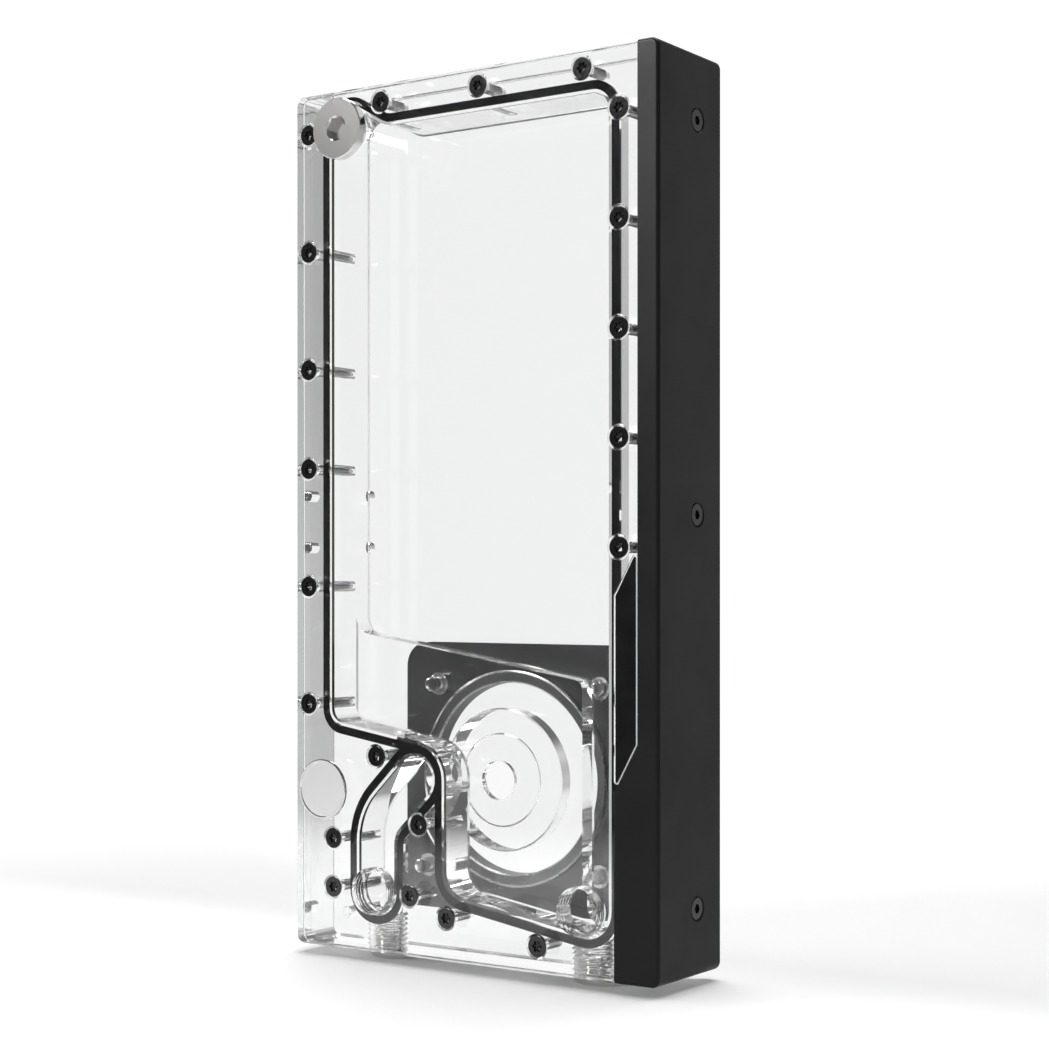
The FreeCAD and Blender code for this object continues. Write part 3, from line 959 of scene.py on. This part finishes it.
def tilted(span):
    """Test for faces that lean between the front and the side."""
    low, high = span
    return lambda face: low < -face.normal.y < high


def on_collar(face):
    return face.normal.y < FACING_FRONT and face.center.y < collar_front + COLLAR_DEEP


plain_piece("side_cover", "side_cover_channel", anodised)
clamp = plain_piece("pump_plate", "pump_clamp_plate", dark_metal)
paint(clamp, stainless, tilted(LIP_TILT))
paint(clamp, collar_metal, on_collar)
plain_piece("pump_inserts", "threaded_bushes", stainless)

# %% [markdown]
# ## Strip and badge
# A slanted black strip and a round silver badge lie on the plate. The strip has a bright
# line along its edge. It could be a thin piece of its own, but on the real strip it is
# the bevel that catches the light, so the faces that tilt between front and side get a
# pale colour: a painted highlight. In the same way the badge has a satin face and a polished rim.

# %% Strip and badge
TRIM_ANGLE = 15.0
HIGHLIGHT_TILT = (0.3, 0.95)
BADGE_RIM = -0.98


# Painted highlight: a pale colour on the bevel, where the real strip catches the light.
def painted_edge_highlight():
    finish = Finish("strip_edge", (0.9, 0.9, 0.9), roughness=0.4)
    finish.roughness(finish.noise(900.0), 0.34, 0.46)
    return finish.material


def strip_black():
    finish = Finish("strip_black", (0.004, 0.004, 0.004), roughness=0.3, Specular_IOR_Level=0.15)
    finish.roughness(finish.noise(200.0), 0.26, 0.36)
    return finish.material


strip = plain_piece("label_strip", "slanted_strip", strip_black(), angle=TRIM_ANGLE)
# The bevel faces get the painted highlight.
paint(strip, painted_edge_highlight(), tilted(HIGHLIGHT_TILT))
silver = satin_silver(centre_of(*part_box("badge")))
badge = plain_piece("badge", "round_badge", silver, angle=TRIM_ANGLE)
paint(badge, polished, lambda face: face.normal.y > BADGE_RIM)

# %% [markdown]
# ## Surroundings
# A clear block is drawn by what stands round it. Cards and cloths could be set up as
# objects, but their edges would show through the block. So the surroundings are one smooth
# glow that depends on direction only: white behind, grey to the right, where the edges
# of the block look for their light, and dimmer in front and above, so that black stays black.

# %% Glow of the surroundings
GLOW_BACK, GLOW_FRONT = 1.03, 0.5
GLOW_DARK = 0.1
GLOW_ABOVE = 0.16
RIGHT_HIGH, RIGHT_LOW = 0.47, 0.72
DARK_SIDE = (-0.7, -0.714, 0.0)
FRONT_TO_BACK = (-0.5, 0.15)
LEFT_TO_RIGHT = (0.3, 0.6)
LOW_TO_HIGH = (-0.18, 0.14)
ROUND_DARK_SIDE = (0.7, 0.93)
LEVEL_TO_ABOVE = (0.28, 0.55)


def studio_glow():
    """Node group that turns a direction into the brightness seen that way."""
    group = Nodes(bpy.data.node_groups.new("studio_glow", "ShaderNodeTree"))
    face = group.tree.interface
    face.new_socket("Direction", in_out="INPUT", socket_type="NodeSocketVector")
    face.new_socket("Glow", in_out="OUTPUT", socket_type="NodeSocketFloat")
    direction = group.add("NodeGroupInput").outputs["Direction"]
    x, y, z = group.add("ShaderNodeSeparateXYZ", {0: direction}).outputs
    level = group.ramp(y, *FRONT_TO_BACK, GLOW_FRONT, GLOW_BACK)
    shade = group.ramp(z, *LOW_TO_HIGH, RIGHT_LOW, RIGHT_HIGH)
    level = group.blend(group.ramp(x, *LEFT_TO_RIGHT), level, shade)
    dark = group.ramp(group.measure("DOT_PRODUCT", direction, DARK_SIDE), *ROUND_DARK_SIDE)
    level = group.blend(dark, level, GLOW_DARK)
    level = group.blend(group.ramp(z, *LEVEL_TO_ABOVE), level, GLOW_ABOVE)
    group.add("NodeGroupOutput", {"Glow": level})
    return group.tree


glow = studio_glow()


def glow_toward(tree, direction):
    return tree.add("ShaderNodeGroup", {"Direction": direction}, node_tree=glow).outputs["Glow"]


world = bpy.data.worlds.new("pale_studio")
bpy.context.scene.world = world
world.use_nodes = True
sky = Nodes(world.node_tree)
toward = sky.add("ShaderNodeTexCoord").outputs["Generated"]
sky.feed(world.node_tree.nodes["Background"].inputs["Color"], glow_toward(sky, toward))
print("surroundings with", len(glow.nodes), "nodes")

# %% [markdown]
# ## Floor
# The object stands on a pale table. A plain white plane would end in a horizon that shows
# through the block, so away from the object the floor fades into the glow of its direction,
# sooner straight behind. Near and in front it glows a little, a painted fill light that keeps
# it pale under a soft top light. The glow stops where something stands close above it, so a
# painted contact shadow stays as a thin dark line under the object.

# %% Floor
FLOOR_SIZE = 60.0
FADE = (0.16, 0.36)
BACKWARD = (-0.35, 0.937, 0.0)
BACKWARD_SPAN = (0.75, 0.95)
BACK_REACH = 0.5
# Painted fill light: the floor glows in front of the object, and a painted contact shadow cuts that glow
# close under it.
PAINTED_FILL_GLOW = 0.42
PAINTED_FILL_DEPTH = (-0.03, 0.05)
PAINTED_SHADOW_REACH = 0.006
PAINTED_SHADOW_POWER = 2.0
WHITE = (1.0, 1.0, 1.0, 1.0)


def pale_floor():
    finish = Finish("pale_floor", (0.84, 0.84, 0.84), roughness=0.65, Emission_Color=WHITE)
    depth = finish.add("ShaderNodeSeparateXYZ", {0: finish.coords}).outputs["Y"]
    # Painted fill light, strongest in front of the object.
    table = finish.ramp(depth, *PAINTED_FILL_DEPTH, PAINTED_FILL_GLOW, 0.0)
    # Painted contact shadow: the glow fades where ambient occlusion finds something close above.
    above = finish.add("ShaderNodeAmbientOcclusion", {"Distance": PAINTED_SHADOW_REACH}).outputs["AO"]
    lit = finish.math("MULTIPLY", table, finish.math("POWER", above, PAINTED_SHADOW_POWER))
    finish.feed(finish.shader.inputs["Emission Strength"], lit)
    heading = finish.vector("NORMALIZE", finish.coords)
    far = finish.add("ShaderNodeEmission", {"Color": glow_toward(finish, heading)})
    behind = finish.measure("DOT_PRODUCT", heading, BACKWARD)
    reach = finish.ramp(behind, *BACKWARD_SPAN, 1.0, BACK_REACH)
    away = finish.math("DIVIDE", finish.measure("LENGTH", finish.coords), reach)
    shaders = {0: finish.ramp(away, *FADE), 1: finish.shader.outputs[0], 2: far.outputs[0]}
    both = finish.add("ShaderNodeMixShader", shaders)
    finish.feed(finish.tree.nodes["Material Output"].inputs["Surface"], both.outputs[0])
    return finish.material


half = FLOOR_SIZE / 2
corners = [(-half, -half, 0), (half, -half, 0), (half, half, 0), (-half, half, 0)]
floor_mesh = bpy.data.meshes.new("floor")
floor_mesh.from_pydata(corners, [], [(0, 1, 2, 3)])
floor = add_object("floor", floor_mesh)
coat(floor, pale_floor())
print("floor of", FLOOR_SIZE, "m with", len(floor.active_material.node_tree.nodes), "nodes")

# %% [markdown]
# ## Lamps
# Two square lamps stand for softboxes. The key, from the left in front, puts a soft sheen on
# black metal and plugs. It would also throw a shadow across the table, which a real studio
# takes away with a flag, and light linking does that here. The one above fills the
# table evenly. Light that enters clear material bounces many times before it leaves, so the
# limits on bounces are high.

# %% Lamps
BOUNCES = 32


def softbox(name, place, aim, size, power):
    lamp = bpy.data.lights.new(name, "AREA")
    lamp.size = size
    lamp.energy = power
    obj = add_object(name, lamp)
    obj.location = place
    obj.rotation_euler = (Vector(aim) - Vector(place)).to_track_quat("-Z", "Y").to_euler()
    return obj


key = softbox("key_softbox", (-0.54, -0.98, 0.84), aim=(0.0, 0.0, 0.12), size=0.4, power=25.0)
top = softbox("top_softbox", (-0.1, 0.3, 1.3), aim=(0.0, 0.1, 0.0), size=1.0, power=18.0)
unlit = bpy.data.collections.new("not_lit_by_key")
unlit.objects.link(floor)
unlit.collection_objects[0].light_linking.link_state = "EXCLUDE"
key.light_linking.receiver_collection = unlit
for kind in ("max_bounces", "transmission_bounces", "glossy_bounces"):
    setattr(bpy.context.scene.cycles, kind, BOUNCES)
print("lamps:", key.name, key.data.energy, "W,", top.name, top.data.energy, "W")

# %% [markdown]
# ## Camera
# The eye is almost level with the middle of the block and stands to the right, so that the
# black side shows as a narrow upright band. It could be tilted to frame the object, but
# then upright edges would lean. A small shift of the lens keeps them upright. The Standard view
# keeps white white, where a filmic one would turn it grey.

# %% Camera
SENSOR_MM = 36.0
LENS_MM = 70.77
LENS_SHIFT = 0.0572
NEAREST = 0.01
EYE = (0.32755, -0.45992, 0.10556)
TILT, TURN = math.radians(89.885), math.radians(34.719)
lens = bpy.data.cameras.new("photo_view")
lens.sensor_width = SENSOR_MM
lens.lens = LENS_MM
lens.shift_y = LENS_SHIFT
lens.clip_start = NEAREST
camera = add_object("photo_view", lens)
camera.location = EYE
camera.rotation_euler = (TILT, 0.0, TURN)
bpy.context.scene.camera = camera
bpy.context.scene.view_settings.view_transform = "Standard"
print("camera", round(Vector(EYE).length, 3), "m from the origin")
